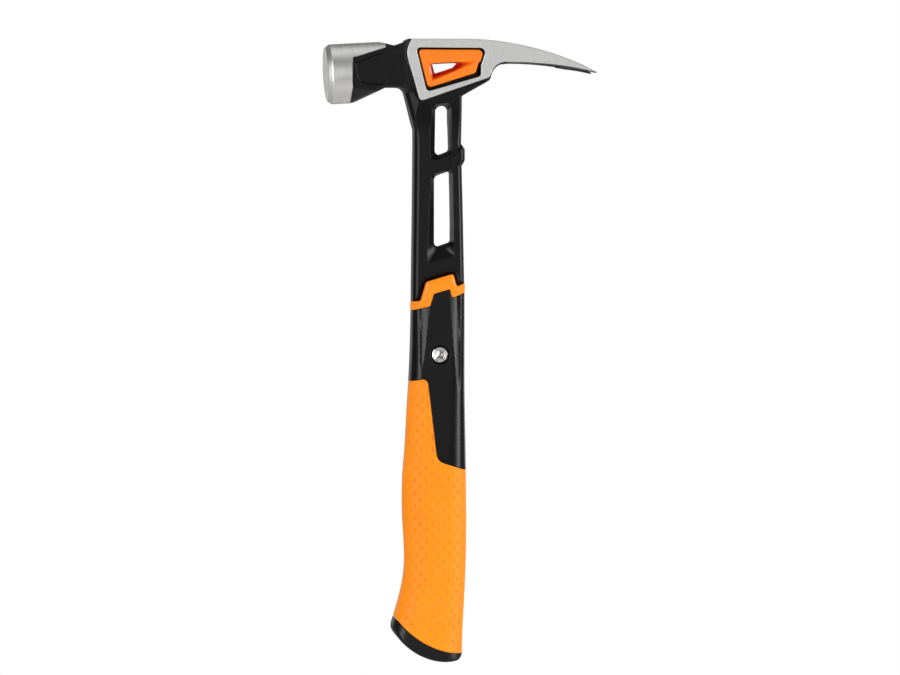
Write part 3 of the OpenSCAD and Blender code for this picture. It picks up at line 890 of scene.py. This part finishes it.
def forged_steel():
    """Ground sides and a turned poll of bare steel, and a black coat on the rest of the forging."""
    material, tree, shader = new_material("forged_steel")
    place = object_place(tree)
    ground = ramp(tree, attribute(tree, "ground"), -0.06, 0.06, 0, 1)
    turned_part = ramp(tree, attribute(tree, "turned"), -0.03, 0.03, 0, 1)
    bare = larger(tree, ground, turned_part)
    grain_up = noise(tree, place, 1, (2600, 2600, 160), 4)
    grain_round = noise(tree, place, 1, (2400, 60, 60), 3)
    bare_grain = mix(tree, turned_part, grain_up, grain_round, colour=False)
    peel = noise(tree, place, 1500, detail=2)
    steel = mix(tree, turned_part, mottled(tree, grain_up, GROUND_STEEL),
                mottled(tree, grain_round, TURNED_STEEL, (0.35, 0.65)))
    coat = mottled(tree, noise(tree, place, 60, detail=4), BLACK_COAT)
    tree.links.new(mix(tree, bare, coat, steel), shader.inputs["Base Color"])
    tree.links.new(bare, shader.inputs["Metallic"])
    shader.inputs["Specular IOR Level"].default_value = COAT_SPECULAR
    steel_rough = ramp(tree, bare_grain, 0.3, 0.7, *STEEL_ROUGH)
    coat_rough = ramp(tree, peel, 0.3, 0.7, *COAT_ROUGH)
    tree.links.new(mix(tree, bare, coat_rough, steel_rough, colour=False), shader.inputs["Roughness"])
    coat_peel = ramp(tree, peel, 0, 1, 0, COAT_PEEL)
    bump(tree, shader, mix(tree, bare, coat_peel, bare_grain, colour=False), 0.35, 0.00006)
    return material


def polished_metal(name, colours, rough):
    """Plated metal with a faint wear that changes its tone and its shine."""
    material, tree, shader = new_material(name)
    wear = noise(tree, object_place(tree), 900, detail=3)
    tree.links.new(mottled(tree, wear, colours, (0.35, 0.65)), shader.inputs["Base Color"])
    tree.links.new(ramp(tree, wear, 0.3, 0.7, *rough), shader.inputs["Roughness"])
    shader.inputs["Metallic"].default_value = 1.0
    bump(tree, shader, wear, 0.2, 0.00003)
    return material


def dress(piece, material, slot, *nodes):
    """Gives a piece its material, attaches it to the root body, and hides the CAD nodes it stands for."""
    piece.data.materials.clear()
    piece.data.materials.append(material)
    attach(piece, "root")
    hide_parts(*nodes)


# ---- Pieces ----

dress(make_forging(), forged_steel(), "head_steel", "head_forging")
dress(make_insert(), window_plastic(), "insert_plastic", "head_insert")

band_rubber = moulded("orange_band", BAND_ORANGE, BAND_ROUGH, BAND_GRAIN, BAND_SPECULAR)
dress(skin("isolation_band", band_distance, BAND_LOW, BAND_HIGH, BAND_VOXEL), band_rubber,
      "sleeve_rubber", "isolation_sleeve")

core_plastic = moulded("black_plastic", BLACK_COAT, CORE_ROUGH, CORE_GRAIN, COAT_SPECULAR)
dress(skin("upper_handle", core_distance, CORE_LOW, CORE_HIGH, CORE_VOXEL), core_plastic,
      "core_plastic", "handle_core")
dress(make_stem(), core_plastic, "core_plastic", "handle_core")

grip_rubber = moulded("orange_grip", GRIP_ORANGE, GRIP_ROUGH, GRIP_GRAIN, GRIP_SPECULAR)
dress(make_grip(), grip_rubber, "grip_rubber", "grip_overmold")

cap_plastic = moulded("cap_plastic", CAP_BLACK, CAP_ROUGH, CAP_GRAIN, CAP_SPECULAR)
dress(skin("butt_cap", cap_distance, cap_low, cap_high, CAP_VOXEL), cap_plastic,
      "cap_plastic", "end_cap")

rivet_metal = polished_metal("rivet_nickel", RIVET_NICKEL, RIVET_ROUGH)
dress(make_rivet(), rivet_metal, "rivet_steel", "rivet_barrel")
dress(make_collar(), rivet_metal, "rivet_steel", "rivet_collar")

magnet_metal = polished_metal("magnet_nickel", MAGNET_NICKEL, MAGNET_ROUGH)
dress(make_magnet(), magnet_metal, "magnet", "nail_magnet")


# ---- Floor, light and camera ----

FLOOR_Z = -0.45
FLOOR_R = 1.2
FLOOR_GREY = 0.8
WORLD_SEEN, WORLD_LIGHT = 1.0, 0.2
SUN_STRENGTH = 0.5
SUN_ANGLE = math.radians(50)
# Each light's name, place, the point it is aimed at, its width and height in metres, and its watts.
LIGHTS = [
    ("left", (-1.35, -1.35, 0.35), (0, 0, 0.02), 0.36, 1.8, 27),
    ("right", (1.75, -0.75, 0.3), (0, 0, 0.0), 0.5, 1.8, 34),
    ("front", (0.28, -2.5, 0.35), (0, 0, 0.05), 2.4, 1.5, 8.0),
    ("back", (1.5, 2.0, 0.5), (0, 0, 0.05), 1.2, 1.6, 16),
    ("rear_left", (-1.3, 2.2, 0.4), (0, 0, 0.05), 1.2, 1.6, 6),
]
BEHIND = ("back", "rear_left")   # these two stand behind the object, and are hidden from the camera


def make_floor():
    bpy.ops.mesh.primitive_circle_add(vertices=128, radius=FLOOR_R, fill_type="NGON",
                                      location=(0, 0, FLOOR_Z))
    floor = bpy.context.object
    floor.name = "floor"
    material, tree, shader = new_material("pale_floor")
    shader.inputs["Base Color"].default_value = (FLOOR_GREY, FLOOR_GREY, FLOOR_GREY, 1)
    shader.inputs["Roughness"].default_value = 0.9
    floor.data.materials.append(material)


def area_light(name, place, aim, width, height, watts):
    light = bpy.data.lights.new(name, "AREA")
    light.shape = "RECTANGLE"
    light.size, light.size_y = width, height
    light.energy = watts
    lamp = bpy.data.objects.new(name, light)
    bpy.context.scene.collection.objects.link(lamp)
    lamp.location = place
    lamp.rotation_euler = (Vector(aim) - Vector(place)).to_track_quat("-Z", "Y").to_euler()
    lamp.visible_camera = name not in BEHIND


def overhead_light():
    light = bpy.data.lights.new("overhead", "SUN")
    light.energy = SUN_STRENGTH
    light.angle = SUN_ANGLE
    lamp = bpy.data.objects.new("overhead", light)
    bpy.context.scene.collection.objects.link(lamp)


def make_world():
    """A white surround for the camera, and a softer grey one for the light that it gives."""
    world = bpy.data.worlds.new("studio")
    bpy.context.scene.world = world
    world.use_nodes = True
    tree = world.node_tree
    output = tree.nodes["World Output"]
    seen = tree.nodes["Background"]
    lit = add(tree, "ShaderNodeBackground")
    for background, strength in ((seen, WORLD_SEEN), (lit, WORLD_LIGHT)):
        background.inputs["Color"].default_value = (1, 1, 1, 1)
        background.inputs["Strength"].default_value = strength
    path = add(tree, "ShaderNodeLightPath")
    chosen = add(tree, "ShaderNodeMixShader")
    tree.links.new(path.outputs["Is Camera Ray"], chosen.inputs[0])
    tree.links.new(lit.outputs[0], chosen.inputs[1])
    tree.links.new(seen.outputs[0], chosen.inputs[2])
    tree.links.new(chosen.outputs[0], output.inputs["Surface"])


CAMERA_DISTANCE = 2.0
CAMERA_YAW = math.radians(8)
CAMERA_LIFT = 0.10
VIEW_W = 0.5697          # width of the view at the object, in metres
VIEW_RIGHT, VIEW_UP = 0.00785, 0.01044       # the view's middle, from the frame's origin
SENSOR_W = 36


def make_camera():
    """The camera stands a little towards the striking face and above the object's middle."""
    right = Vector((math.cos(CAMERA_YAW), -math.sin(CAMERA_YAW), 0))
    back = Vector((-math.sin(CAMERA_YAW), -math.cos(CAMERA_YAW), 0))
    target = right * VIEW_RIGHT + Vector((0, 0, VIEW_UP))
    camera_data = bpy.data.cameras.new("camera")
    camera_data.sensor_width = SENSOR_W
    camera_data.lens = SENSOR_W * CAMERA_DISTANCE / VIEW_W
    camera = bpy.data.objects.new("camera", camera_data)
    bpy.context.scene.collection.objects.link(camera)
    camera.location = target + back * CAMERA_DISTANCE + Vector((0, 0, CAMERA_LIFT))
    camera.rotation_euler = (target - camera.location).to_track_quat("-Z", "Y").to_euler()
    bpy.context.scene.camera = camera


make_floor()
make_world()
make_camera()
for row in LIGHTS:
    area_light(*row)
overhead_light()
bpy.context.scene.view_settings.view_transform = "Standard"
